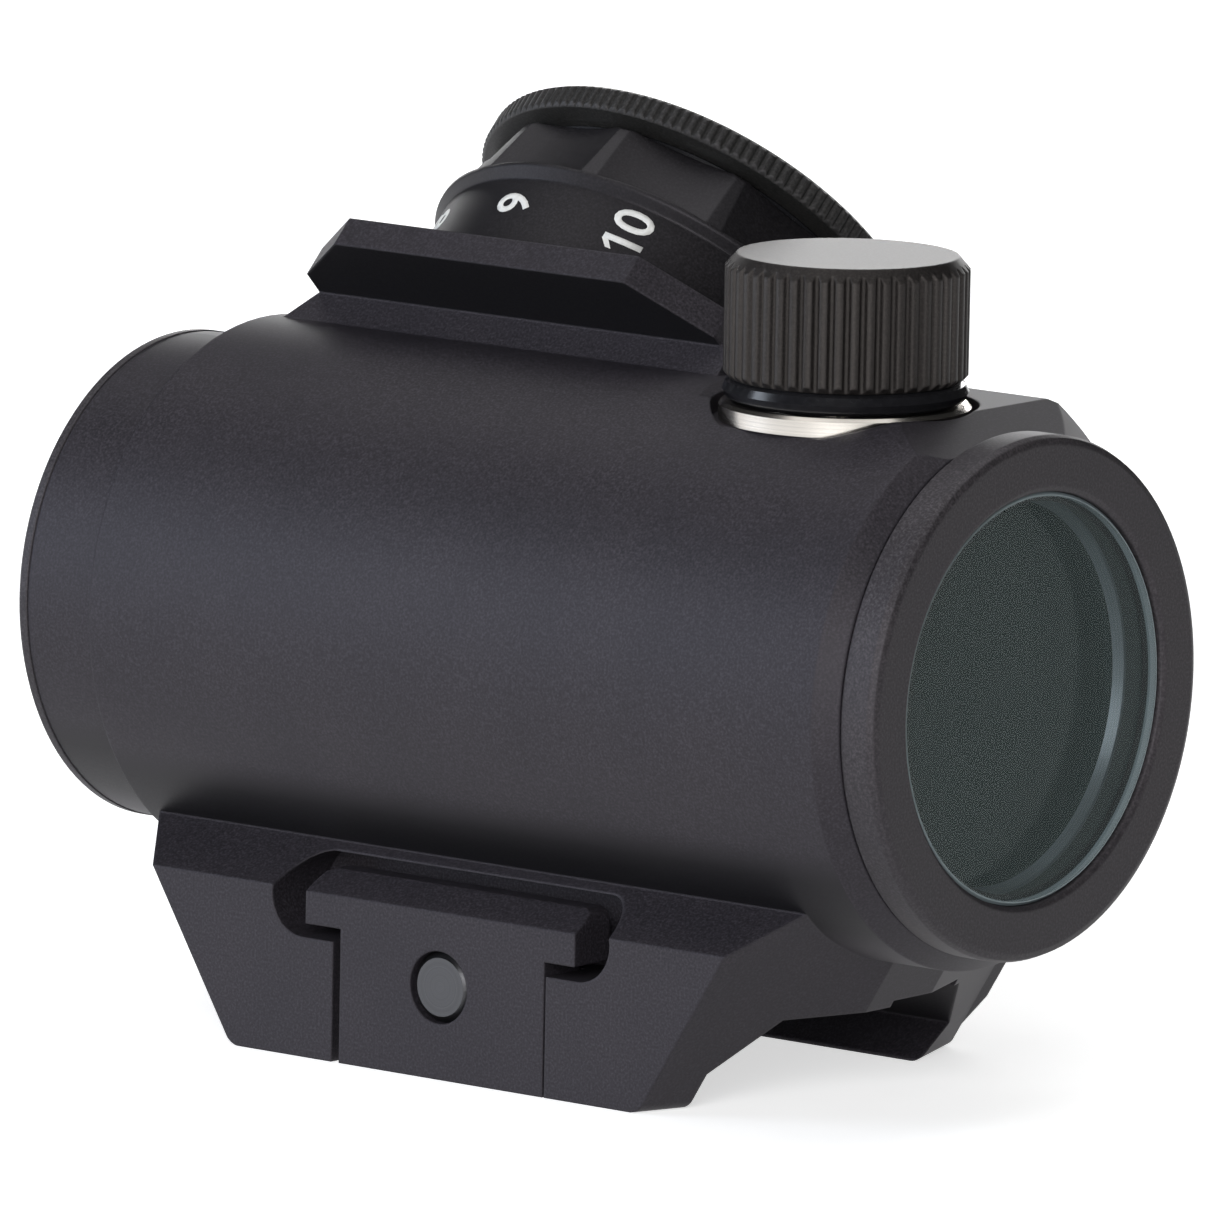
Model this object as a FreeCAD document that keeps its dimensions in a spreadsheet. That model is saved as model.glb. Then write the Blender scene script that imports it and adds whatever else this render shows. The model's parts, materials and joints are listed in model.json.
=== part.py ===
import FreeCAD, Part
import math
import os

import Sketcher

V = FreeCAD.Vector
doc = FreeCAD.newDocument("red_dot_finder")
sheet = doc.addObject("Spreadsheet::Sheet", "sizes")

# Driving dimensions in millimetres and degrees.
SIZES = {
    # tube and housing; the rail seat is at z = 0 and the tube axis at axis_height
    "axis_height": 18.3, "half_length": 31.0, "barrel_radius": 15.5, "barrel_front": 27.4,
    "barrel_rear": -24.2, "neck_radius": 13.9, "neck_end": -30.1, "bezel_seam": 28.6, "ring_radius": 14.6,
    "bore_radius": 12.2, "thread_radius": 13.2, "counterbore_front": 25.6, "counterbore_rear": -27.2,
    "window_seat": 30.1, "window_radius": 11.45,
    # squared top corner that carries the adjustment turrets
    "flat_height": 15.0, "flat_edge": 9.2, "block_rear": 8.0, "block_front": 24.2,
    # base
    "base_half_width": 14.0, "base_drop": 23.4, "crease_low": 13.9, "crease_high_y": 10.2,
    "crease_high_z": 11.6, "end_centre": 21.7, "end_corner": 17.8, "end_flat": 2.8, "end_slope": 0.62,
    "toe_radius": 1.0, "far_swell": 2.4, "swell_low": 18.2, "swell_high": 15.2,
    # rail channel, for a 21.2 mm wide accessory rail
    "roof_drop": 18.3, "roof_half": 7.9, "channel_half": 10.9, "channel_knee": 21.3,
    "claw_half": 8.95, "claw_low": 23.25,
    # clamp plate, its recess and its bolt
    "clamp_x": 0.35, "stem_half": 7.65, "bar_half": 9.65, "lobe_half": 12.1, "bar_low": 15.8,
    "lobe_low": 16.6, "lobe_high": 12.1, "plate_depth": 3.1, "bolt_drop": 18.2, "bolt_radius": 2.0,
    "bolt_head_radius": 3.4, "bolt_head_depth": 2.6, "gap_rear": 0.55, "gap_front": 0.14,
    "recess_depth": 5.0,
    # turrets
    "turret_x": 17.2, "pocket_radius": 7.45, "pocket_floor": 14.0, "spigot_radius": 4.5,
    "flange_radius": 7.0, "cap_radius": 6.8, "cap_low": 16.4, "cap_high": 23.3, "neck_thread": 5.2,
    "flange_high": 15.1, "cap_ridges": 48, "windage_inset": 1.2,
    # brightness dial, on an axis tilted half way between up and +Y
    "dial_x": -8.5, "dial_tilt": 45.0, "boss_low": 13.05, "boss_high": 14.95, "boss_rear": 13.4,
    "boss_front": 15.6, "boss_near": 15.8, "boss_far": 14.6, "neck_half_width": 10.9, "neck_front": 16.6,
    "hub_radius": 11.3, "hub_high": 19.3, "board_pocket": 10.3, "board_floor": 14.6, "detent_radius": 12.35,
    "dial_low": 15.25, "skirt_radius": 13.5, "grip_low": 21.4, "grip_high": 25.65, "grip_radius": 14.0,
    "grip_taper": 0.95, "scallop_radius": 16.0, "scallop_depth": 0.8, "settings": 11, "first_number": -5.0,
    "knurl_low": 26.25, "knurl_high": 27.85, "knurl_radius": 13.6, "knurl_ridges": 140,
}
for row, (alias, value) in enumerate(SIZES.items(), start=1):
    sheet.set(f"A{row}", alias)
    sheet.set(f"B{row}", str(value))
    sheet.setAlias(f"B{row}", alias)
doc.recompute()

NODES = []


def size(name):
    """Value of one driving dimension."""
    return float(sheet.get(name))


def ref(name):
    """Sheet cell as it is written inside an expression."""
    return "sizes." + name


def expression(text):
    """Put the sheet's name in front of every driving dimension in a formula."""
    words = ""
    word = ""
    for letter in text + " ":
        if letter.isalnum() or letter == "_":
            word += letter
            continue
        words += (ref(word) if word in SIZES else word) + letter
        word = ""
    return words.strip()


def value_of(text):
    """Evaluate a formula of driving dimensions and numbers."""
    return float(sheet.evalExpression(expression(str(text))))


def place(item, x="0", y="0", z="axis_height", axis=V(1, 0, 0), angle="0"):
    """Bind an object's placement to the sheet."""
    item.Placement = FreeCAD.Placement(V(value_of(x), value_of(y), value_of(z)),
                                       FreeCAD.Rotation(axis, value_of(angle)))
    for name, text in (("x", x), ("y", y), ("z", z)):
        item.setExpression("Placement.Base." + name, expression(str(text)))
    return item


def node(item, label):
    """Register an object as one named sub-part."""
    item.Label = label
    NODES.append(item)
    return item


def new_body(name):
    return doc.addObject("PartDesign::Body", name)


def plane_sketch(body, plane, name, offset=None):
    """Sketch on one of the body's own origin planes."""
    sketch = body.newObject("Sketcher::SketchObject", name)
    origin_plane = next(f for f in body.Origin.OriginFeatures if f.Role == plane)
    sketch.AttachmentSupport = [(origin_plane, "")]
    sketch.MapMode = "FlatFace"
    if offset is not None:
        sketch.AttachmentOffset = offset
    return sketch


def pin_point(sketch, edge, end, point):
    """Dimension one end of an edge from the sketch's origin."""
    for kind, text in zip(("DistanceX", "DistanceY"), point):
        value = value_of(text)
        index = sketch.addConstraint(Sketcher.Constraint(kind, -1, 1, edge, end, value))
        if not isinstance(text, (int, float)):
            sketch.setExpression(f"Constraints[{index}]", expression(text))


def outline(sketch, points):
    """Closed outline of straight edges through dimensioned corners."""
    corners = [V(value_of(x), value_of(y), 0) for x, y in points]
    count = len(corners)
    first = sketch.GeometryCount
    for i in range(count):
        sketch.addGeometry(Part.LineSegment(corners[i], corners[(i + 1) % count]), False)
    for i in range(count):
        sketch.addConstraint(Sketcher.Constraint("Coincident", first + i, 2, first + (i + 1) % count, 1))
        pin_point(sketch, first + i, 1, points[i])


def circle(sketch, x, y, radius):
    """Dimensioned circle."""
    centre = V(value_of(x), value_of(y), 0)
    index = sketch.addGeometry(Part.Circle(centre, V(0, 0, 1), value_of(radius)), False)
    pin_point(sketch, index, 3, (x, y))
    constraint = sketch.addConstraint(Sketcher.Constraint("Radius", index, value_of(radius)))
    if not isinstance(radius, (int, float)):
        sketch.setExpression(f"Constraints[{constraint}]", expression(radius))


def turned(label, points, axis="H_Axis", body=None, cut=False):
    """Piece or cut made by turning an outline; x runs along the sketch's H axis, z along its V axis."""
    body = body or new_body(label)
    sketch = plane_sketch(body, "XZ_Plane", label + "_outline")
    outline(sketch, points)
    kind = "PartDesign::Groove" if cut else "PartDesign::Revolution"
    feature = body.newObject(kind, label + "_turn")
    feature.Profile = sketch
    feature.ReferenceAxis = (sketch, [axis])
    feature.Angle = 360
    return body


def padded(body, name, plane, points, length, offset=None, both=False, direction=None, cut=False,
           circles=(), reverse=False):
    """Pad or pocket of an outline."""
    sketch = plane_sketch(body, plane, name + "_outline", offset)
    if points:
        outline(sketch, points)
    for entry in circles:
        circle(sketch, *entry)
    feature = body.newObject("PartDesign::Pocket" if cut else "PartDesign::Pad", name)
    feature.Profile = sketch
    feature.Length = value_of(length)
    feature.setExpression("Length", expression(str(length)))
    feature.Midplane = both
    feature.Reversed = reverse
    if direction is not None:
        feature.UseCustomVector = True
        feature.Direction = direction
        feature.AlongSketchNormal = False
    return feature


def toothed(radius, depth, count, low, high, sharp=False):
    """Prism whose edge is cut into equal rounded ridges, for a knurl."""
    points = []
    for i in range(count):
        start = 2 * math.pi * i / count
        for share, sink in ((0.0, 1.0), (0.18, 1.0), (0.36, 0.12), (0.59, 0.0), (0.82, 0.12)):
            if sharp and sink == 1.0 and share > 0:
                continue
            angle = start + 2 * math.pi / count * share
            reach = radius - depth * sink
            points.append(V(reach * math.cos(angle), reach * math.sin(angle), low))
    points.append(points[0])
    return Part.Face(Part.makePolygon(points)).extrude(V(0, 0, high - low))


def feature(label, shape):
    """Shape that only Part's own functions can make."""
    item = doc.addObject("Part::Feature", label)
    item.Shape = shape
    return item


def turned_section(points):
    """Solid turned about the Z axis from a section in plain numbers."""
    wire = Part.makePolygon([V(x, 0, z) for x, z in points] + [V(points[0][0], 0, points[0][1])])
    return Part.Face(wire).revolve(V(0, 0, 0), V(0, 0, 1), 360)


def tilted(height):
    """Sketch placement turned about X to suit the dial's axis, at a height along that axis."""
    tilt = math.radians(size("dial_tilt"))
    base = V(size("dial_x"), height * math.sin(tilt), height * math.cos(tilt))
    return FreeCAD.Placement(base, FreeCAD.Rotation(V(1, 0, 0), -size("dial_tilt")))


def lifted(height):
    """Sketch placement raised along its plane's normal."""
    return FreeCAD.Placement(V(0, 0, height), FreeCAD.Rotation())


def housing_base(body):
    """Clamp base under the tube: section along X with a swelled fixed jaw, then sloped ends."""
    section = [("-base_half_width", "-crease_low"), ("-crease_high_y", "-crease_high_z"),
               ("crease_high_y", "-crease_high_z"), ("base_half_width + far_swell", "-swell_high"),
               ("base_half_width + far_swell", "-swell_low"), ("base_half_width", "1.4 - base_drop"),
               ("base_half_width", "-base_drop"), ("-base_half_width", "-base_drop")]
    padded(body, "base_block", "YZ_Plane", section, "2 * barrel_front", both=True)
    for side, name in ((1, "front"), (-1, "rear")):
        ends = [(f"{side} * end_centre", "-end_flat"), (f"{side} * end_corner", "-base_half_width"),
                (f"{side} * end_corner", "-base_half_width - 2"), (f"{side} * 50", "-base_half_width - 2"),
                (f"{side} * 50", "base_half_width + 4"), (f"{side} * end_corner", "base_half_width + 4"),
                (f"{side} * end_corner", "base_half_width"), (f"{side} * end_centre", "end_flat")]
        padded(body, "base_end_" + name, "XY_Plane", ends, "60", lifted(-size("roof_drop")),
               both=True, direction=V(side * size("end_slope"), 0, 1), cut=True)
    doc.recompute()
    tip = body.Tip
    floor = -size("base_drop")
    toes = [f"Edge{i}" for i, edge in enumerate(tip.Shape.Edges, start=1)
            if all(abs(v.Z - floor) < 0.01 for v in edge.Vertexes)
            and abs(edge.Vertexes[0].Y - edge.Vertexes[1].Y) > 0.5]
    rounding = body.newObject("PartDesign::Fillet", "toe_rounding")
    rounding.Base = (tip, toes)
    rounding.Radius = size("toe_radius")
    rounding.setExpression("Radius", ref("toe_radius"))


def housing_tube(body):
    """Barrel with its rear neck and bevelled front, and the squared corner for the turrets."""
    turned("barrel", [("neck_end", 0), ("neck_end", "neck_radius"), ("barrel_rear - 1.3", "neck_radius"),
                      ("barrel_rear - 0.4", "neck_radius + 0.5"), ("barrel_rear", "barrel_radius"),
                      ("barrel_front", "barrel_radius"), ("bezel_seam", "ring_radius - 0.05"),
                      ("bezel_seam", 0)], body=body)
    corner = [(0, 0), ("-3.4", "flat_height"), ("flat_edge", "flat_height"), ("flat_height", "flat_edge"),
              ("flat_height", "-3.4")]
    padded(body, "turret_block", "YZ_Plane", corner, "bezel_seam - block_rear", lifted(size("block_rear")))
    flat = [("block_rear", "flat_height + 1"), ("block_rear + 2", "flat_height"),
            ("block_front", "flat_height"), ("bezel_seam + 1", "flat_height - 1.7"),
            ("bezel_seam + 1", "flat_height + 6"), ("block_rear", "flat_height + 6")]
    padded(body, "top_flat", "XZ_Plane", flat, "60", both=True, cut=True)
    padded(body, "side_flat", "XY_Plane", flat, "60", both=True, cut=True)
    slope = "(barrel_radius - ring_radius + 0.05) / (bezel_seam - barrel_front)"
    bevel = [("barrel_front - 3", f"barrel_radius + 3 * {slope}"), ("bezel_seam", "ring_radius - 0.05"),
             ("bezel_seam + 1", "ring_radius - 0.05"), ("bezel_seam + 1", "barrel_radius + 8"),
             ("barrel_front - 3", "barrel_radius + 8")]
    turned("front_ring_bevel", bevel, body=body, cut=True)


def housing_boss(body):
    """Ramp-ended neck, chamfered flange, flat seat and round hub that carry the brightness dial."""
    neck = [("-boss_rear + 0.2", "boss_low + 0.2"), ("-boss_rear - 1.7", "boss_low - 2.45"),
            ("-boss_rear - 1.7", 6), ("neck_front", 6), ("neck_front", "boss_low + 0.2")]
    padded(body, "boss_neck", "XZ_Plane", neck, "2 * neck_half_width", tilted(0), both=True)
    flange = [("3.9 - boss_rear", "-boss_near"), ("boss_front - 4.2", "-boss_near"),
              ("boss_front", "4.2 - boss_near"), ("boss_front", "boss_far - 4.2"),
              ("boss_front - 4.2", "boss_far"), ("3.9 - boss_rear", "boss_far"),
              ("-boss_rear", "boss_far - 3.3"), ("-boss_rear", "3.3 - boss_near")]
    padded(body, "boss_flange", "XY_Plane", flange, "boss_high - boss_low", tilted(size("boss_low")))
    padded(body, "dial_seat", "XY_Plane", [], "2", tilted(size("boss_high") + 2),
           circles=[(0, 0, "skirt_radius + 0.35")], cut=True)
    padded(body, "boss_hub", "XY_Plane", [], "hub_high - boss_high", tilted(size("boss_high")),
           circles=[(0, 0, "hub_radius")])


def housing_bore(body):
    """Through bore with a threaded counterbore at each end."""
    bore = [("neck_end - 1", 0), ("neck_end - 1", "thread_radius"), ("counterbore_rear", "thread_radius"),
            ("counterbore_rear", "bore_radius"), ("counterbore_front", "bore_radius"),
            ("counterbore_front", "thread_radius"), ("bezel_seam + 1", "thread_radius"),
            ("bezel_seam + 1", 0)]
    turned("bore", bore, body=body, cut=True)


def housing_dial_pockets(body):
    """Board pocket, wire hole, ring groove and detent hole of the dial's hub."""
    padded(body, "board_pocket_cut", "XY_Plane", [], "hub_high + 1 - board_floor",
           tilted(size("hub_high") + 1), circles=[(0, 0, "board_pocket")], cut=True)
    padded(body, "wire_hole", "XY_Plane", [], "6", tilted(15.0), circles=[(0, 6, 1.2)], cut=True)
    padded(body, "detent_hole", "XY_Plane", [], "boss_high - 13.35 + 0.5", tilted(size("boss_high") + 0.5),
           circles=[(0, "detent_radius", 0.8)], cut=True)
    padded(body, "ring_groove", "XY_Plane", [], "0.6", tilted(19.05),
           circles=[(0, 0, "hub_radius + 2"), (0, 0, "hub_radius - 0.45")], cut=True)


def housing_turret_pockets(body):
    """Round pocket and spigot hole for each adjustment turret."""
    turns = (("elevation", "XY_Plane", FreeCAD.Rotation(), V(0, 0, 1), "0"),
             ("windage", "XZ_Plane", FreeCAD.Rotation(V(1, 0, 0), 180), V(0, 0, -1), "windage_inset"))
    for name, plane, rotation, outward, inset in turns:
        outside = FreeCAD.Placement(outward * (size("flat_height") + 6), rotation)
        padded(body, name + "_pocket", plane, [], f"flat_height + 6 - pocket_floor + {inset}", outside,
               circles=[("turret_x", 0, "pocket_radius")], cut=True)
        padded(body, name + "_hole", plane, [], "flat_height + 1", outside,
               circles=[("turret_x", 0, "spigot_radius")], cut=True)


def housing_clamp_cuts(body):
    """Rail channel, the T-shaped recess for the clamp plate and the cross hole for its bolt."""
    channel = [("-roof_half", "-roof_drop"), ("roof_half", "-roof_drop"), ("channel_half", "-channel_knee"),
               ("claw_half", "-claw_low"), ("claw_half", "-base_drop - 2"),
               ("-channel_half", "-base_drop - 2"), ("-channel_half", "-channel_knee")]
    padded(body, "rail_channel", "YZ_Plane", channel, "60", both=True, cut=True)
    relief = [("-0.6", "-roof_drop + 0.4"), ("roof_half - 0.8", "-roof_drop + 0.4"),
              ("roof_half - 0.8", "-roof_drop - 1"), ("-0.6", "-roof_drop - 1")]
    padded(body, "roof_relief", "YZ_Plane", relief, "60", both=True, cut=True)
    outside = lifted(size("base_half_width") + 1)
    depth = "recess_depth + 1"
    stem = [("clamp_x - stem_half", "-base_drop - 1"), ("clamp_x + stem_half", "-base_drop - 1"),
            ("clamp_x + stem_half", "-bar_low"), ("clamp_x - stem_half", "-bar_low")]
    padded(body, "stem_slot", "XZ_Plane", stem, "plate_depth + 1 + 0.35", outside, cut=True)
    bar = [("clamp_x - lobe_half + 2.25", "-lobe_low"), ("clamp_x + lobe_half - 2.25", "-lobe_low"),
           ("clamp_x + lobe_half - 2.25", "-lobe_high"), ("clamp_x - lobe_half + 2.25", "-lobe_high")]
    padded(body, "bar_slot", "XZ_Plane", bar, depth, outside, cut=True)
    for side, name in ((-1, "lobe_left"), (1, "lobe_right")):
        lobe = (f"clamp_x + {side} * (lobe_half - 2.25)", "-(lobe_low + lobe_high) / 2",
                "(lobe_low - lobe_high) / 2")
        padded(body, name, "XZ_Plane", [], depth, outside, circles=[lobe], cut=True)
    bolt = ("clamp_x", "-bolt_drop")
    padded(body, "bolt_hole", "XZ_Plane", [], "2 * base_half_width + 4", both=True, cut=True,
           circles=[(*bolt, "bolt_radius + 0.12")])
    padded(body, "bolt_counterbore", "XZ_Plane", [], "bolt_head_depth + far_swell + 1",
           lifted(-size("base_half_width") + size("bolt_head_depth") + 0.2),
           circles=[(*bolt, "bolt_head_radius + 0.15")], cut=True)


def make_main_body():
    body = new_body("main_body")
    housing_base(body)
    housing_tube(body)
    housing_boss(body)
    housing_bore(body)
    housing_dial_pockets(body)
    housing_turret_pockets(body)
    housing_clamp_cuts(body)
    place(node(body, "main_body"))


def make_tube_rings():
    """Screwed rings, windows and the inner tube, all turned about the tube's axis."""
    pieces = {
        "objective_bezel": [("counterbore_front + 0.3", 12.4),
                            ("counterbore_front + 0.3", "thread_radius - 0.06"),
                            ("bezel_seam + 0.05", "thread_radius - 0.06"),
                            ("bezel_seam + 0.05", "ring_radius - 0.15"),
                            ("bezel_seam + 0.2", "ring_radius"), ("half_length - 0.5", "ring_radius"),
                            ("half_length - 0.15", "ring_radius - 0.15"),
                            ("half_length", "ring_radius - 0.5"), ("half_length", 11.75),
                            ("half_length - 0.2", "window_radius + 0.05"),
                            ("window_seat", "window_radius + 0.05"), ("window_seat", 10.9),
                            ("window_seat - 0.15", 10.9), ("window_seat - 0.15", 12.4)],
        "ocular_bezel": [("-half_length", 10.9), ("-half_length + 0.5", 10.4), (-29.15, 10.4),
                         (-29.15, 12.0), (-27.6, 12.0), (-27.6, "thread_radius - 0.06"),
                         ("neck_end - 0.05", "thread_radius - 0.06"),
                         ("neck_end - 0.05", "neck_radius + 0.05"),
                         ("-half_length + 0.35", "neck_radius + 0.05"),
                         ("-half_length", "neck_radius - 0.3")],
        "ocular_lens": [(-29.1, 0), (-29.1, 11.7), (-28.9, 11.9), (-27.85, 11.9), (-27.65, 11.7),
                        (-27.65, 0)],
        "ocular_seal": [(-27.58, 11.0), (-27.58, 13.0), (-27.28, 13.0), (-27.28, 11.0)],
        "pivot_ring": [(-21.5, 11.56), (-21.5, 12.14), (-18.5, 12.14), (-18.5, 11.56)],
        "inner_tube": [(-24.5, 9.9), (-24.5, 11.5), (-17.0, 11.5), (-16.4, 11.0), (26.0, 11.0),
                       (26.4, 11.7), (29.4, 11.7), (29.7, 11.45), (29.7, 11.25), (26.6, 11.25), (26.6, 9.9)],
        "objective_lens_rear": [(26.65, 0), (26.65, 11.0), (26.8, 11.2), (27.95, 11.2), (27.95, 0)],
        "objective_lens_front": [("window_seat + 0.02", 0), ("window_seat + 0.02", "window_radius"),
                                 ("window_seat + 0.42", "window_radius"),
                                 ("window_seat + 0.57", "window_radius - 0.15"), ("window_seat + 0.57", 0)],
        "lens_retainer": [(28.0, 10.75), (28.0, 11.2), (28.6, 11.2), (28.6, 11.0)],
    }
    for label, points in pieces.items():
        place(node(turned(label, points), label))


def make_emitter():
    """Light source on the floor of the inner tube, and its carrier."""
    mount = doc.addObject("Part::Box", "emitter_mount")
    mount.Length = 4.0
    mount.Width = 3.0
    mount.Height = 2.2
    place(node(mount, "emitter_mount"), "-16", "-1.5", "axis_height - 9.75")
    led = doc.addObject("Part::Cylinder", "emitter_led")
    led.Radius = 0.8
    led.Height = 1.3
    place(node(led, "emitter_led"), "-11.95", "0", "axis_height - 8.5", V(0, 1, 0), "90")


def make_return_spring():
    """Bowed leaf spring between the bore and the inner tube, opposite both plungers."""
    body = new_body("return_spring")
    bow = [("-9", -12.08), ("0", -11.7), ("9", -12.08), ("9", -11.93), ("0", -11.52), ("-9", -11.93)]
    padded(body, "leaf", "XZ_Plane", bow, "3", both=True)
    place(node(body, "return_spring"), angle="-45")


def make_turret(prefix, inset, angle):
    """One adjustment turret: base, adjuster, plunger, seal and cap, along the local Z axis."""
    where = {"x": "turret_x", "y": f"-{inset}", "angle": angle}

    base = [(2.7, 12.9), ("spigot_radius - 0.05", 12.9), ("spigot_radius - 0.05", "pocket_floor + 0.03"),
            ("flange_radius", "pocket_floor + 0.03"), ("flange_radius", "flange_high - 0.2"),
            ("flange_radius - 0.2", "flange_high"), ("neck_thread", "flange_high"), ("neck_thread", 19.8),
            ("neck_thread - 0.2", 20.0), (4.6, 20.0), (4.6, 17.6), (2.7, 17.6)]
    place(node(turned(prefix + "_base", base, "V_Axis"), prefix + "_base"), **where)

    adjuster = turned(prefix + "_adjuster",
                      [(1.68, 13.0), (2.64, 13.0), (2.64, 17.65), (4.3, 17.65), (4.5, 17.85), (4.5, 19.2),
                       (4.3, 19.4), (0, 19.4), (0, 15.8), (1.68, 15.8)], "V_Axis")
    slot = [(-5, -0.5), (5, -0.5), (5, 0.5), (-5, 0.5)]
    padded(adjuster, prefix + "_slot", "XY_Plane", slot, "0.9", lifted(19.4), cut=True)
    place(node(adjuster, prefix + "_adjuster"), **where)

    tip = f"11.05 + {inset}"
    plunger = [(0, tip), (1.2, tip), (1.6, f"{tip} + 0.4"), (1.6, 15.3), (0, 15.3)]
    place(node(turned(prefix + "_plunger", plunger, "V_Axis"), prefix + "_plunger"), **where)

    seal = [(5.3, 15.35), (5.6, 15.15), (6.3, 15.15), (6.65, 15.35), (6.85, 15.78), (6.65, 16.2),
            (6.35, 16.36), (5.6, 16.36), (5.3, 16.2)]
    place(node(turned(prefix + "_cap_seal", seal, "V_Axis"), prefix + "_cap_seal"), **where)

    radius = size("cap_radius")
    low = size("cap_low")
    high = size("cap_high")
    blank = turned_section([(0, low + 4.4), (5.35, low + 4.4), (5.35, low), (radius - 0.35, low),
                            (radius, low + 0.35), (radius, high - 0.75), (radius - 0.65, high), (0, high)])
    cap = blank.common(toothed(radius, 0.32, int(size("cap_ridges")), low - 1, high + 1))
    place(node(feature(prefix + "_cap", cap), prefix + "_cap"), **where)


def make_dial():
    """Hollow dial: skirt for the numbers, scalloped grip, battery chamber and underside detents."""
    low = size("dial_low")
    skirt = size("skirt_radius")
    grip = size("grip_radius")
    grip_low = size("grip_low")
    grip_high = size("grip_high")
    top = grip - size("grip_taper")
    shape = turned_section([(11.4, low), (11.85, low), (11.85, low + 0.35), (12.85, low + 0.35),
                            (12.85, low), (skirt - 0.25, low), (skirt, low + 0.25), (skirt, grip_low - 0.5),
                            (grip, grip_low), (grip, grip_low + 0.2), (top, grip_high - 0.15),
                            (top - 0.15, grip_high), (11.2, grip_high), (11.2, 24.4), (10.25, 24.4),
                            (10.25, 20.7), (0, 20.7), (0, 19.7), (11.4, 19.7), (11.4, 19.1), (12.0, 19.1),
                            (12.0, 18.4), (11.4, 18.4)])
    lean = math.atan2(size("grip_taper"), grip_high - grip_low - 0.35)
    hollow = size("scallop_radius")
    detent = size("detent_radius")
    count = int(size("settings"))
    for i in range(count):
        turn = math.radians(size("first_number") - 90 + 360 / count * i)
        aside = V(math.cos(turn), math.sin(turn), 0)
        along = V(0, 0, math.cos(lean)) - aside * math.sin(lean)
        out = V(0, 0, math.sin(lean)) + aside * math.cos(lean)
        foot = V(0, 0, grip_low + 0.1) + aside * (grip - size("scallop_depth"))
        shape = shape.cut(Part.makeCylinder(hollow, 6.0, foot + out * hollow, along))
        notch = math.radians(90 + 360 / count * i)
        centre = V(detent * math.cos(notch), detent * math.sin(notch), low + 0.3)
        shape = shape.cut(Part.makeSphere(0.62, centre))
    return shape


def make_battery_cap():
    """Knurled battery cap with its threaded plug and coin slot."""
    low = size("knurl_low")
    high = size("knurl_high")
    radius = size("knurl_radius")
    rim = turned_section([(0, low), (radius - 0.2, low), (radius, low + 0.2), (radius, high - 0.3),
                          (radius - 0.3, high), (0, high)])
    rim = rim.common(toothed(radius, 0.2, int(size("knurl_ridges")), low - 1, high + 1, sharp=True))
    plug = Part.makeCylinder(11.1, low - 24.35, V(0, 0, 24.55))
    slot = Part.makeBox(16, 1.8, 1.2, V(-8, -0.9, high - 1.1))
    return rim.fuse(plug).cut(slot).removeSplitter()


def make_dial_group():
    """Everything on the tilted dial axis, in local coordinates with Z along that axis."""
    where = {"x": "dial_x", "angle": "-dial_tilt"}
    place(node(feature("brightness_dial", make_dial()), "brightness_dial"), **where)
    place(node(feature("battery_cap", make_battery_cap()), "battery_cap"), **where)
    turned_pieces = {
        "dial_retaining_ring": [("hub_radius - 0.4", 18.5), (11.9, 18.5), (11.9, 19.0),
                                ("hub_radius - 0.4", 19.0)],
        "control_board": [(0, 14.65), (10.1, 14.65), (10.1, 15.85), (0, 15.85)],
        "dial_contact": [(4.0, 19.3), (8.0, 19.3), (8.0, 19.65), (4.0, 19.65)],
        "battery": [(0, 20.98), (8.6, 20.98), (8.6, 21.15), (9.6, 21.15), (10.0, 21.5), (10.0, 24.0),
                    (9.85, 24.15), (0, 24.15)],
        "battery_contact": [(2.5, 20.74), (7.5, 20.74), (7.5, 20.94), (2.5, 20.94)],
        "battery_cap_seal": [(11.3, "grip_high + 0.05"), (11.75, "grip_high + 0.05"),
                             (11.9, "grip_high + 0.2"), (11.9, "knurl_low - 0.2"),
                             (11.75, "knurl_low - 0.05"), (11.3, "knurl_low - 0.05")],
    }
    for label, points in turned_pieces.items():
        place(node(turned(label, points, "V_Axis"), label), **where)

    ball = doc.addObject("Part::Sphere", "detent_ball")
    ball.Radius = 0.72
    place(node(ball, "detent_ball"), "dial_x",
          "14.5 * sin(dial_tilt * 1deg) + detent_radius * cos(dial_tilt * 1deg)",
          "axis_height + 14.5 * cos(dial_tilt * 1deg) - detent_radius * sin(dial_tilt * 1deg)")


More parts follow.
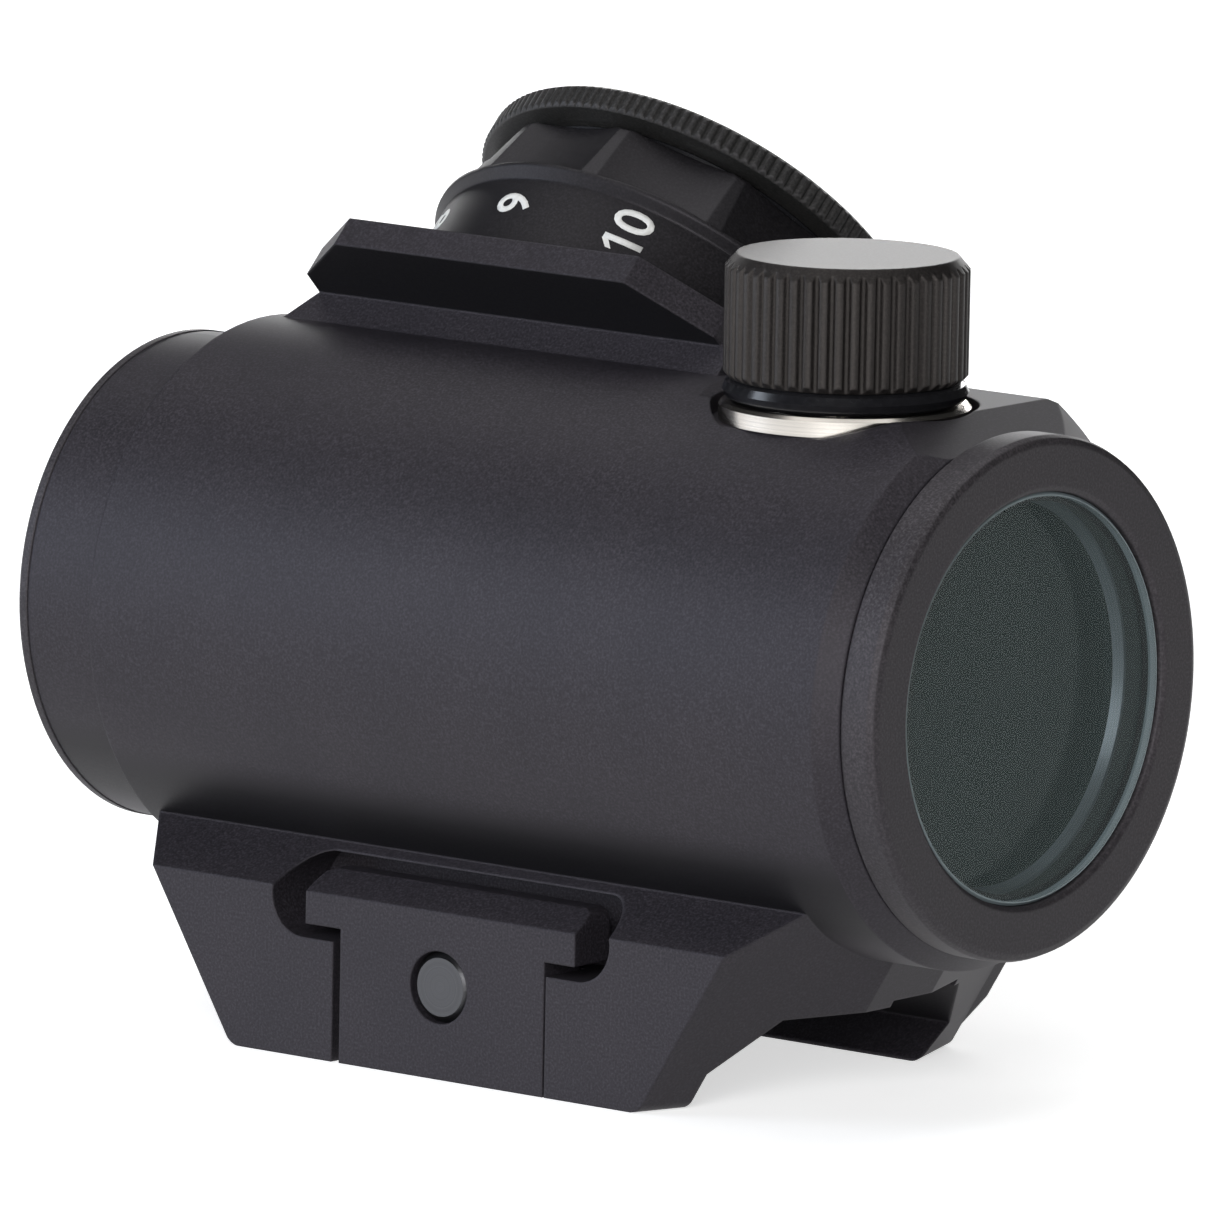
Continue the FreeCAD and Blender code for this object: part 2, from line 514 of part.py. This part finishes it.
def make_clamp():
    """T-shaped clamp plate with its rail claw, and the cross bolt that draws it in."""
    plate = new_body("clamp_plate")
    outside = lifted(size("base_half_width"))
    tee = [("clamp_x - stem_half + gap_rear", "-base_drop"),
           ("clamp_x + stem_half - gap_front", "-base_drop"),
           ("clamp_x + stem_half - gap_front", "-bar_low"), ("clamp_x + bar_half", "-bar_low"),
           ("clamp_x + bar_half", "-lobe_high - 1.4"), ("clamp_x + bar_half - 0.2", "-lobe_high - 0.9"),
           ("clamp_x + bar_half - 0.7", "-lobe_high - 0.7"), ("clamp_x - bar_half + 0.7", "-lobe_high - 0.7"),
           ("clamp_x - bar_half + 0.2", "-lobe_high - 0.9"), ("clamp_x - bar_half", "-lobe_high - 1.4"),
           ("clamp_x - bar_half", "-bar_low"), ("clamp_x - stem_half + gap_rear", "-bar_low")]
    padded(plate, "tee", "XZ_Plane", tee, "plate_depth", outside, reverse=True)
    claw = [("-channel_half + 0.05", "-channel_knee + 0.5"), ("-channel_half", "-channel_knee"),
            ("-claw_half", "-claw_low"), ("-claw_half", "-base_drop"), ("-channel_half - 0.5", "-base_drop"),
            ("-channel_half - 0.5", "-channel_knee + 0.5")]
    middle = size("clamp_x") + (size("gap_rear") - size("gap_front")) / 2
    padded(plate, "claw", "YZ_Plane", claw, "2 * stem_half - gap_rear - gap_front", lifted(middle), both=True)
    slope = [("-base_half_width - 1", "-crease_low - 0.684"), ("-crease_high_y", "-crease_high_z"),
             ("-crease_high_y", "-8"), ("-base_half_width - 1", "-8")]
    padded(plate, "shoulder", "YZ_Plane", slope, "60", both=True, cut=True)
    padded(plate, "screw_hole", "XZ_Plane", [], "60", both=True, cut=True,
           circles=[("clamp_x", "-bolt_drop", "bolt_radius + 0.05")])
    place(node(plate, "clamp_plate"))

    bolt = turned("clamp_bolt", [(0, -13.85), (1.65, -13.85), ("bolt_radius", -13.5), ("bolt_radius", 11.3),
                                 ("bolt_head_radius", 11.3), ("bolt_head_radius", 13.5),
                                 ("bolt_head_radius - 0.3", 13.8), (0, 13.8)], "V_Axis")
    across = 3.0
    hexagon = [(across / math.sqrt(3) * math.cos(math.radians(60 * i)),
                across / math.sqrt(3) * math.sin(math.radians(60 * i))) for i in range(6)]
    padded(bolt, "socket", "XY_Plane", hexagon, "1.7", lifted(13.8), cut=True)
    place(node(bolt, "clamp_bolt"), "clamp_x", "0", "axis_height - bolt_drop", angle="-90")


def check_and_write():
    doc.recompute()
    for item in doc.Objects:
        if "Invalid" in item.State or "Error" in item.State:
            raise RuntimeError(f"{item.Label} failed: {item.State}")
    os.makedirs("parts", exist_ok=True)
    for item in NODES:
        shape = item.Shape
        if shape.isNull() or not shape.isValid():
            raise RuntimeError(f"{item.Label} has no valid shape")
        print(item.Label, round(shape.Volume, 1), len(shape.Solids))
        shape.exportStep(f"parts/{item.Label}.step")


make_main_body()
make_tube_rings()
make_emitter()
make_return_spring()
make_turret("elevation", 0.0, "0")
make_turret("windage", SIZES["windage_inset"], "-90")
make_dial_group()
make_clamp()
check_and_write()
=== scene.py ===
import json
import math

import bmesh
import bpy
from mathutils import Matrix, Vector


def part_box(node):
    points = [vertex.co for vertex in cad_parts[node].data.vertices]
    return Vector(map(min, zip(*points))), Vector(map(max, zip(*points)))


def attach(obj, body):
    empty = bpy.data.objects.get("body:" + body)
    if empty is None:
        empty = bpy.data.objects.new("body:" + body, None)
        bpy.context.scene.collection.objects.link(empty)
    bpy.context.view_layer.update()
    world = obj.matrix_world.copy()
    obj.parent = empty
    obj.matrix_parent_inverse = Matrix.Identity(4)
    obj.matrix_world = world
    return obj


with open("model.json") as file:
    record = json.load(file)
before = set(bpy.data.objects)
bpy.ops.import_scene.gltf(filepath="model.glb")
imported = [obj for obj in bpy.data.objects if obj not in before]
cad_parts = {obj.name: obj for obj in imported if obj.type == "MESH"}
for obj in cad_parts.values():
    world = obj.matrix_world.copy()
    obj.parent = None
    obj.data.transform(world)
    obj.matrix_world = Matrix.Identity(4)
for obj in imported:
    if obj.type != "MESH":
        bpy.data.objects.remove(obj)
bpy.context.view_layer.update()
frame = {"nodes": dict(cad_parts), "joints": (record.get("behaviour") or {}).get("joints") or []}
nodes = frame["nodes"]
joints = {j["name"]: j for j in frame["joints"]}

MM = 0.001
FLOOR_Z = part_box("main_body")[0].z
TUBE_AXIS = Vector(joints["tube_yaw"]["pos_m"])

# cosines between two normals where a finish starts to change and where it has changed, for worn edges
# and then for painted shade; last, the painted shade's colour
WEAR_RANGE = (0.995, 0.86)
PAINTED_SHADE_RANGE = (0.96, 0.99)
PAINTED_SHADE_COLOUR = (0.0015, 0.0015, 0.002)


# ---------------------------------------------------------------- node helpers

def new_material(name):
    """Empty Principled material; returns the material, its shader and an adder for more nodes."""
    material = bpy.data.materials.new(name)
    material.use_nodes = True
    tree = material.node_tree
    shader = tree.nodes["Principled BSDF"]

    def add(kind, **settings):
        node = tree.nodes.new(kind)
        for key, value in settings.items():
            if key in node.inputs:
                node.inputs[key].default_value = value
            else:
                setattr(node, key, value)
        return node

    return material, shader, add, tree.links.new


def noise(add, link, coords, scale, detail=3.0):
    """Noise in object space; scale is in cells per metre."""
    node = add("ShaderNodeTexNoise", Scale=scale, Detail=detail)
    link(coords.outputs["Object"], node.inputs["Vector"])
    return node


def ramp(add, link, source, stops):
    """Colour ramp through (position, colour) stops."""
    node = add("ShaderNodeValToRGB")
    elements = node.color_ramp.elements
    elements[0].position, elements[0].color = stops[0][0], (*stops[0][1], 1.0)
    elements[1].position, elements[1].color = stops[-1][0], (*stops[-1][1], 1.0)
    for position, colour in stops[1:-1]:
        elements.new(position).color = (*colour, 1.0)
    link(source, node.inputs["Fac"])
    return node


def scaled(colour, factor):
    return tuple(c * factor for c in colour)


def remap(add, link, source, before, after):
    """Stretch one range of values to another, and stop at its ends; returns the output."""
    node = add("ShaderNodeMapRange", **{"From Min": before[0], "From Max": before[1],
                                        "To Min": after[0], "To Max": after[1]})
    link(source, node.inputs["Value"])
    return node.outputs["Result"]


def mix_to(add, link, factor, source, colour):
    """Blend from a colour output to one plain colour; returns the output."""
    node = add("ShaderNodeMix", data_type="RGBA")
    link(factor, node.inputs["Factor"])
    link(source, node.inputs["A"])
    node.inputs["B"].default_value = (*colour, 1.0)
    return node.outputs["Result"]


def texture_finish(add, link, shader, pattern, roughness, spread, bump, depth, normal=None):
    """Vary the roughness with a pattern, by spread below and above, and raise the pattern a little."""
    between = (roughness - spread[0], roughness + spread[1])
    link(remap(add, link, pattern, (0.0, 1.0), between), shader.inputs["Roughness"])
    relief = add("ShaderNodeBump", Strength=bump, Distance=depth)
    link(pattern, relief.inputs["Height"])
    if normal is not None:
        link(normal, relief.inputs["Normal"])
    link(relief.outputs["Normal"], shader.inputs["Normal"])


def worn_edges(add, link, shader, source, worn, radius, strength):
    """Blend towards a worn colour where the bevelled normal leaves the surface's own."""
    bevel = add("ShaderNodeBevel", samples=4, Radius=radius)
    geometry = add("ShaderNodeNewGeometry")
    dot = add("ShaderNodeVectorMath", operation="DOT_PRODUCT")
    link(bevel.outputs["Normal"], dot.inputs[0])
    link(geometry.outputs["Normal"], dot.inputs[1])
    mask = remap(add, link, dot.outputs["Value"], WEAR_RANGE, (0.0, strength))
    link(mix_to(add, link, mask, source, worn), shader.inputs["Base Color"])
    return bevel


def dulled(add, link, coords, source, side):
    """Painted shade: darken the faces whose normal points along one direction, in place of the shade
    under a deep step.
    """
    dot = add("ShaderNodeVectorMath", operation="DOT_PRODUCT")
    link(coords.outputs["Normal"], dot.inputs[0])
    dot.inputs[1].default_value = side
    mask = remap(add, link, dot.outputs["Value"], PAINTED_SHADE_RANGE, (0.0, 1.0))
    return mix_to(add, link, mask, source, PAINTED_SHADE_COLOUR)


# ---------------------------------------------------------------- materials

def anodised(name, colour, roughness=0.52, speckle=0.5, grain=7000.0, clouds=180.0, bump=0.07,
             wear=0.35, sheen=(0.97, 0.92, 1.0), painted_shade_side=None):
    """Bead-blasted, black anodised aluminium: fine speckle, soft mottling and faintly polished edges.

    Faces turned the given way, the underside of a deep step, get painted shade: a darker colour that
    stands in for the shade there.
    """
    material, shader, add, link = new_material(name)
    coords = add("ShaderNodeTexCoord")
    fine = noise(add, link, coords, grain, detail=2.0)
    cloud = noise(add, link, coords, clouds)
    dark, bright = scaled(colour, 1 - speckle), scaled(colour, 1 + 2 * speckle)
    tint = ramp(add, link, fine.outputs["Fac"], [(0.3, dark), (0.5, colour), (0.72, bright)])
    mottle = add("ShaderNodeMix", data_type="RGBA", blend_type="MULTIPLY")
    mottle.inputs["Factor"].default_value = 1.0
    shade = ramp(add, link, cloud.outputs["Fac"], [(0.3, (0.9, 0.9, 0.92)), (0.7, (1.08, 1.06, 1.06))])
    link(tint.outputs["Color"], mottle.inputs["A"])
    link(shade.outputs["Color"], mottle.inputs["B"])
    finish_and_shade = mottle.outputs["Result"]
    # painted shade: faces turned the given way get a darker colour in place of shade
    if painted_shade_side is not None:
        finish_and_shade = dulled(add, link, coords, finish_and_shade, painted_shade_side)
    worn = scaled(colour, 2.4)
    bevel = worn_edges(add, link, shader, finish_and_shade, worn, radius=0.22 * MM, strength=wear)
    texture_finish(add, link, shader, fine.outputs["Fac"], roughness, spread=(0.06, 0.08), bump=bump,
                   depth=0.02 * MM, normal=bevel.outputs["Normal"])
    shader.inputs["Specular IOR Level"].default_value = 0.34
    shader.inputs["Specular Tint"].default_value = (*sheen, 1.0)
    return material


def turned_metal(name, colour, roughness, centre, along, metallic=1.0, rings=14000.0, bump=0.12):
    """Lathe-turned metal: fine rings round an axis, which runs along a direction through centre."""
    material, shader, add, link = new_material(name)
    coords = add("ShaderNodeTexCoord")
    shift = add("ShaderNodeVectorMath", operation="SUBTRACT")
    link(coords.outputs["Object"], shift.inputs[0])
    shift.inputs[1].default_value = centre
    depth = add("ShaderNodeVectorMath", operation="DOT_PRODUCT")
    link(shift.outputs["Vector"], depth.inputs[0])
    depth.inputs[1].default_value = along
    cross = add("ShaderNodeVectorMath", operation="CROSS_PRODUCT")
    link(shift.outputs["Vector"], cross.inputs[0])
    cross.inputs[1].default_value = along
    reach = add("ShaderNodeVectorMath", operation="LENGTH")
    link(cross.outputs["Vector"], reach.inputs[0])
    place = add("ShaderNodeCombineXYZ")
    link(reach.outputs["Value"], place.inputs["X"])
    link(depth.outputs["Value"], place.inputs["Y"])
    lines = add("ShaderNodeTexNoise", Scale=rings, Detail=2.0)
    link(place.outputs["Vector"], lines.inputs["Vector"])
    dark, bright = scaled(colour, 0.82), scaled(colour, 1.08)
    tint = ramp(add, link, lines.outputs["Fac"], [(0.3, dark), (0.7, bright)])
    link(tint.outputs["Color"], shader.inputs["Base Color"])
    texture_finish(add, link, shader, lines.outputs["Fac"], roughness, spread=(0.06, 0.08), bump=bump,
                   depth=0.01 * MM)
    shader.inputs["Metallic"].default_value = metallic
    return material


def moulded(name, colour, roughness, grain=2500.0, bump=0.03):
    """Moulded rubber or plastic with a little surface variation."""
    material, shader, add, link = new_material(name)
    coords = add("ShaderNodeTexCoord")
    fine = noise(add, link, coords, grain)
    dark, bright = scaled(colour, 0.8), scaled(colour, 1.2)
    tint = ramp(add, link, fine.outputs["Fac"], [(0.3, dark), (0.7, bright)])
    link(tint.outputs["Color"], shader.inputs["Base Color"])
    texture_finish(add, link, shader, fine.outputs["Fac"], roughness, spread=(0.05, 0.07), bump=bump,
                   depth=0.02 * MM)
    return material


def coated_glass(name, tint, alpha, rim=None, rim_radius=1.0, rim_alpha=0.9):
    """Coated lens; beyond rim_radius from the tube's axis it takes the rim's colour, if it has one."""
    material, shader, add, link = new_material(name)
    coords = add("ShaderNodeTexCoord")
    dust = noise(add, link, coords, 1500.0, detail=4.0)
    dark, bright = scaled(tint, 0.92), scaled(tint, 1.12)
    film = ramp(add, link, dust.outputs["Fac"], [(0.35, dark), (0.75, bright)])
    shift = add("ShaderNodeVectorMath", operation="SUBTRACT")
    link(coords.outputs["Object"], shift.inputs[0])
    shift.inputs[1].default_value = TUBE_AXIS
    flat = add("ShaderNodeVectorMath", operation="MULTIPLY")
    link(shift.outputs["Vector"], flat.inputs[0])
    flat.inputs[1].default_value = (0.0, 1.0, 1.0)
    reach = add("ShaderNodeVectorMath", operation="LENGTH")
    link(flat.outputs["Vector"], reach.inputs[0])
    rim_start = (rim_radius, rim_radius + 0.12 * MM)
    edge = remap(add, link, reach.outputs["Value"], rim_start, (0.0, 1.0))
    link(mix_to(add, link, edge, film.outputs["Color"], rim or tint), shader.inputs["Base Color"])
    cover = remap(add, link, edge, (0.0, 1.0), (alpha, rim_alpha if rim else alpha))
    link(cover, shader.inputs["Alpha"])
    shader.inputs["Roughness"].default_value = 0.03
    shader.inputs["IOR"].default_value = 1.5
    shader.inputs["Specular Tint"].default_value = (0.8, 1.0, 0.98, 1.0)
    return material


def printed_paint(name, colour):
    """Slightly rough white print of the numbers."""
    material, shader, add, link = new_material(name)
    coords = add("ShaderNodeTexCoord")
    fine = noise(add, link, coords, 4000.0)
    tint = ramp(add, link, fine.outputs["Fac"], [(0.3, scaled(colour, 0.88)), (0.7, colour)])
    link(tint.outputs["Color"], shader.inputs["Base Color"])
    shader.inputs["Roughness"].default_value = 0.6
    return material


def circuit_board(name):
    """Green solder mask with faint tracks."""
    material, shader, add, link = new_material(name)
    coords = add("ShaderNodeTexCoord")
    cells = add("ShaderNodeTexVoronoi", Scale=700.0, feature="DISTANCE_TO_EDGE")
    link(coords.outputs["Object"], cells.inputs["Vector"])
    track, mask = (0.06, 0.3, 0.13), (0.02, 0.16, 0.07)
    tint = ramp(add, link, cells.outputs["Distance"], [(0.02, track), (0.08, mask)])
    link(tint.outputs["Color"], shader.inputs["Base Color"])
    shader.inputs["Roughness"].default_value = 0.35
    return material


def paint(material, *names):
    """Give CAD nodes one material."""
    for name in names:
        mesh = nodes[name].data
        mesh.materials.clear()
        mesh.materials.append(material)


TURRETS = {"elevation": Vector((0, 0, 1)), "windage": Vector((0, 1, 0))}
TURRET_FOOT = Vector(joints["elevation_turn"]["pos_m"])
DIAL_AXIS = Vector(joints["brightness_turn"]["axis"]).normalized()
DIAL_FOOT = Vector(joints["brightness_turn"]["pos_m"])
BOLT_FOOT = Vector(joints["clamp_bolt_turn"]["pos_m"])


def dress_frame():
    """Every CAD node's material."""
    # the housing's faces turned against the dial's axis, under the dial boss, get painted shade
    paint(anodised("housing_finish_and_shade", (0.0215, 0.0195, 0.0235), painted_shade_side=-DIAL_AXIS), "main_body")
    paint(anodised("plate_finish", (0.0205, 0.0185, 0.0225)), "clamp_plate")
    paint(anodised("ring_finish", (0.036, 0.033, 0.036), roughness=0.5),
          "objective_bezel", "ocular_bezel")
    paint(anodised("cap_finish", (0.015, 0.0135, 0.013), roughness=0.42, wear=0.5,
                   sheen=(1.0, 0.92, 0.88)), "elevation_cap", "windage_cap")
    paint(anodised("dial_finish", (0.009, 0.0085, 0.0095), roughness=0.46, wear=0.3), "brightness_dial")
    paint(anodised("cover_finish", (0.022, 0.022, 0.021), roughness=0.45, wear=0.45), "battery_cap")
    paint(moulded("tube_finish", (0.036, 0.047, 0.05), roughness=0.42), "inner_tube")
    paint(turned_metal("retainer_finish", (0.3, 0.37, 0.41), 0.35, TUBE_AXIS, Vector((1, 0, 0)),
                       metallic=0.5), "lens_retainer")
    paint(moulded("seal_finish", (0.012, 0.012, 0.014), roughness=0.16),
          "elevation_cap_seal", "windage_cap_seal", "battery_cap_seal", "ocular_seal")
    for prefix, along in TURRETS.items():
        paint(turned_metal(prefix + "_nickel", (0.6, 0.565, 0.52), 0.2, TURRET_FOOT, along,
                           rings=6000.0, bump=0.03), prefix + "_base")
        paint(turned_metal(prefix + "_brass", (0.75, 0.58, 0.28), 0.25, TURRET_FOOT, along),
              prefix + "_adjuster")
        paint(turned_metal(prefix + "_pin_steel", (0.6, 0.6, 0.6), 0.3, TURRET_FOOT, along),
              prefix + "_plunger")
    paint(turned_metal("bolt_finish", (0.09, 0.09, 0.095), 0.36, BOLT_FOOT, Vector((0, 1, 0))),
          "clamp_bolt")
    paint(turned_metal("cell_can", (0.72, 0.72, 0.73), 0.22, DIAL_FOOT, DIAL_AXIS), "battery")
    paint(turned_metal("contact_metal", (0.8, 0.62, 0.3), 0.3, DIAL_FOOT, DIAL_AXIS), "dial_contact")
    paint(turned_metal("spring_metal", (0.6, 0.6, 0.62), 0.3, DIAL_FOOT, DIAL_AXIS),
          "return_spring", "battery_contact", "detent_ball")
    paint(circuit_board("board_finish"), "control_board")
    paint(moulded("acetal", (0.06, 0.06, 0.06), roughness=0.45),
          "pivot_ring", "emitter_mount", "dial_retaining_ring")
    paint(moulded("emitter_finish", (0.5, 0.03, 0.02), roughness=0.15), "emitter_led")
    paint(coated_glass("window_glass", (0.010, 0.026, 0.027), alpha=0.3, rim=(0.34, 0.41, 0.44),
                       rim_radius=11.15 * MM), "objective_lens_front")
    paint(coated_glass("objective_coating", (0.024, 0.055, 0.056), alpha=0.62), "objective_lens_rear")
    paint(coated_glass("ocular_coating", (0.016, 0.018, 0.026), alpha=0.45), "ocular_lens")


# ---------------------------------------------------------------- dial numbers

NUMBER_RADIUS = 13.5 * MM
NUMBER_HEIGHT = 19.1 * MM
NUMBER_SIZE = 3.2 * MM
NUMBER_BOLDER = 0.016 * NUMBER_SIZE
NUMBER_SPACING = 0.95
NUMBER_STRETCH = (0.94, 1.04)
LONGEST_EDGE = 0.4 * MM
NUMBER_PROUD = 0.02 * MM
NUMBER_SUNK = 0.05 * MM
FIRST_ANGLE = math.radians(-5.0)
FIRST_VALUE = 9
SETTINGS = 11
# corners of the stroke at the top of a 1, from the stem's top left corner, in number sizes
FLAG = ((0.0, 0.0), (-0.16, -0.14), (-0.16, -0.25), (0.0, -0.13))


def number_mesh(text):
    """Flat mesh of a number, centred, with its baseline along X."""
    curve = bpy.data.curves.new("number_" + text, "FONT")
    curve.body = text
    curve.size = NUMBER_SIZE
    curve.align_x = "CENTER"
    curve.align_y = "CENTER"
    curve.offset = NUMBER_BOLDER
    curve.space_character = NUMBER_SPACING
    curve.resolution_u = 4
    carrier = bpy.data.objects.new("number_" + text, curve)
    bpy.context.scene.collection.objects.link(carrier)
    depsgraph = bpy.context.evaluated_depsgraph_get()
    mesh = bpy.data.meshes.new_from_object(carrier.evaluated_get(depsgraph))
    bpy.data.objects.remove(carrier)
    mesh.transform(Matrix.Diagonal((*NUMBER_STRETCH, 1.0, 1.0)))
    return mesh


def add_flag(shape):
    """Slanted stroke at the top of a leading 1, which is the leftmost stem of the number."""
    left = min(v.co.x for v in shape.verts)
    top = max(v.co.y for v in shape.verts)
    corners = [(left + x * NUMBER_SIZE, top + y * NUMBER_SIZE, 0) for x, y in FLAG]
    shape.faces.new([shape.verts.new(corner) for corner in corners])


def add_numbers(material):
    """White numbers round the skirt, laid on it as thin prints, one piece for each setting."""
    along_x = Vector((1, 0, 0))
    outward = -DIAL_AXIS.cross(along_x).normalized()
    if outward.y > 0:
        outward = -outward
    for i in range(SETTINGS):
        value = (FIRST_VALUE + i) % SETTINGS
        mesh = number_mesh(str(value))
        shape = bmesh.new()
        shape.from_mesh(mesh)
        if value in (1, 10):
            add_flag(shape)
        long_edges = [e for e in shape.edges if e.calc_length() > LONGEST_EDGE]
        bmesh.ops.subdivide_edges(shape, edges=long_edges, cuts=1)
        bmesh.ops.triangulate(shape, faces=shape.faces[:])
        extrusion = bmesh.ops.extrude_face_region(shape, geom=shape.faces[:])
        top = {v for v in extrusion["geom"] if isinstance(v, bmesh.types.BMVert)}
        turn = FIRST_ANGLE + 2 * math.pi * i / SETTINGS
        for vertex in shape.verts:
            angle = turn - vertex.co.y / NUMBER_RADIUS
            radius = NUMBER_RADIUS + (NUMBER_PROUD if vertex in top else -NUMBER_SUNK)
            side = along_x * math.sin(angle) + outward * math.cos(angle)
            vertex.co = DIAL_FOOT + DIAL_AXIS * (NUMBER_HEIGHT + vertex.co.x) + side * radius
        bmesh.ops.recalc_face_normals(shape, faces=shape.faces[:])
        shape.to_mesh(mesh)
        shape.free()
        mesh.materials.clear()
        mesh.materials.append(material)
        piece = bpy.data.objects.new(f"dial_number_{value}", mesh)
        bpy.context.scene.collection.objects.link(piece)
        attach(piece, "dial")


# ---------------------------------------------------------------- stage, light and camera

FLOOR_REACH = 1.5
FLOOR_GLOW = 0.62
HORIZON = (-0.25, 0.1)
LOOK_AT = Vector((0, 0, TUBE_AXIS.z))


def add_floor():
    """Large pale floor that runs out of sight and glows a little, so that it comes out white."""
    mesh = bpy.data.meshes.new("floor")
    signs = ((-1, -1), (1, -1), (1, 1), (-1, 1))
    corners = [(x * FLOOR_REACH, y * FLOOR_REACH, FLOOR_Z) for x, y in signs]
    mesh.from_pydata(corners, [], [(0, 1, 2, 3)])
    floor = bpy.data.objects.new("floor", mesh)
    bpy.context.scene.collection.objects.link(floor)
    material, shader, add, link = new_material("floor_paper")
    coords = add("ShaderNodeTexCoord")
    fibre = noise(add, link, coords, 900.0)
    tint = ramp(add, link, fibre.outputs["Fac"], [(0.3, (0.86, 0.86, 0.86)), (0.7, (0.9, 0.9, 0.9))])
    link(tint.outputs["Color"], shader.inputs["Base Color"])
    shader.inputs["Roughness"].default_value = 0.8
    shader.inputs["Specular IOR Level"].default_value = 0.1
    shader.inputs["Emission Color"].default_value = (1.0, 1.0, 1.0, 1.0)
    shader.inputs["Emission Strength"].default_value = FLOOR_GLOW
    mesh.materials.append(material)
    floor.visible_diffuse = False


def add_light(name, place, size, power, colour=(1, 1, 1)):
    """Rectangular soft box aimed at the tube; place and size in metres, power in watts."""
    data = bpy.data.lights.new(name, "AREA")
    data.shape = "RECTANGLE"
    data.size, data.size_y = size
    data.energy = power
    data.color = colour
    light = bpy.data.objects.new(name, data)
    light.location = place
    light.rotation_mode = "QUATERNION"
    light.rotation_quaternion = (LOOK_AT - Vector(place)).to_track_quat("-Z", "Y")
    bpy.context.scene.collection.objects.link(light)


def add_world(above, below):
    """Pale surround overhead that fades to a dim one under the horizon."""
    world = bpy.data.worlds.new("studio")
    world.use_nodes = True
    tree = world.node_tree
    coords = tree.nodes.new("ShaderNodeTexCoord")
    split = tree.nodes.new("ShaderNodeSeparateXYZ")
    tree.links.new(coords.outputs["Generated"], split.inputs[0])
    fade = tree.nodes.new("ShaderNodeMapRange")
    fade.inputs["From Min"].default_value = HORIZON[0]
    fade.inputs["From Max"].default_value = HORIZON[1]
    fade.inputs["To Min"].default_value = below
    fade.inputs["To Max"].default_value = above
    tree.links.new(split.outputs["Z"], fade.inputs["Value"])
    tree.links.new(fade.outputs["Result"], tree.nodes["Background"].inputs["Strength"])
    bpy.context.scene.world = world


# camera: azimuth, elevation and roll in degrees; distance and the offsets to the right and up in
# metres; focal length in millimetres
CAMERA_TURN = (38.72, 9.24, 1.05)
CAMERA_DISTANCE = 0.9856
CAMERA_OFFSET = (0.000514, 0.001534)
CAMERA_LENS = 522.3


def add_camera():
    """Long lens on the objective end, from a little above."""
    azimuth, elevation, roll = (math.radians(v) for v in CAMERA_TURN)
    back = Vector((math.sin(azimuth) * math.cos(elevation), -math.cos(azimuth) * math.cos(elevation),
                   math.sin(elevation)))
    level = Vector((0, 0, 1)).cross(back).normalized()
    upright = back.cross(level)
    right = math.cos(roll) * level + math.sin(roll) * upright
    up = -math.sin(roll) * level + math.cos(roll) * upright
    data = bpy.data.cameras.new("camera")
    data.sensor_width = 36.0
    data.lens = CAMERA_LENS
    data.clip_start = 0.05
    data.clip_end = 10.0
    camera = bpy.data.objects.new("camera", data)
    camera.rotation_mode = "QUATERNION"
    camera.rotation_quaternion = Matrix((right, up, back)).transposed().to_quaternion()
    camera.location = (LOOK_AT + right * CAMERA_OFFSET[0] + up * CAMERA_OFFSET[1]
                       + back * CAMERA_DISTANCE)
    bpy.context.scene.collection.objects.link(camera)
    bpy.context.scene.camera = camera


def light_studio():
    """Soft boxes in front, overhead and behind, with a pale surround."""
    add_world(above=0.5, below=0.1)
    add_light("front_box", (0.4, -0.75, 0.28), (0.5, 0.5), power=6.3)
    add_light("left_box", (-0.6, -0.5, 0.2), (0.35, 0.5), power=3.0, colour=(0.8, 0.88, 1.0))
    add_light("top_box", (-0.1, 0.1, 0.6), (0.6, 0.6), power=1.7)
    add_light("back_box", (-0.55, 0.7, 0.22), (0.8, 0.25), power=3.0)


def colour_management():
    """Plain display colours, with no film look."""
    view = bpy.context.scene.view_settings
    view.view_transform = "Standard"
    view.look = "None"
    view.exposure = 0.0
    view.gamma = 1.0


dress_frame()
add_numbers(printed_paint("number_paint", (0.85, 0.85, 0.83)))
add_floor()
light_studio()
add_camera()
colour_management()
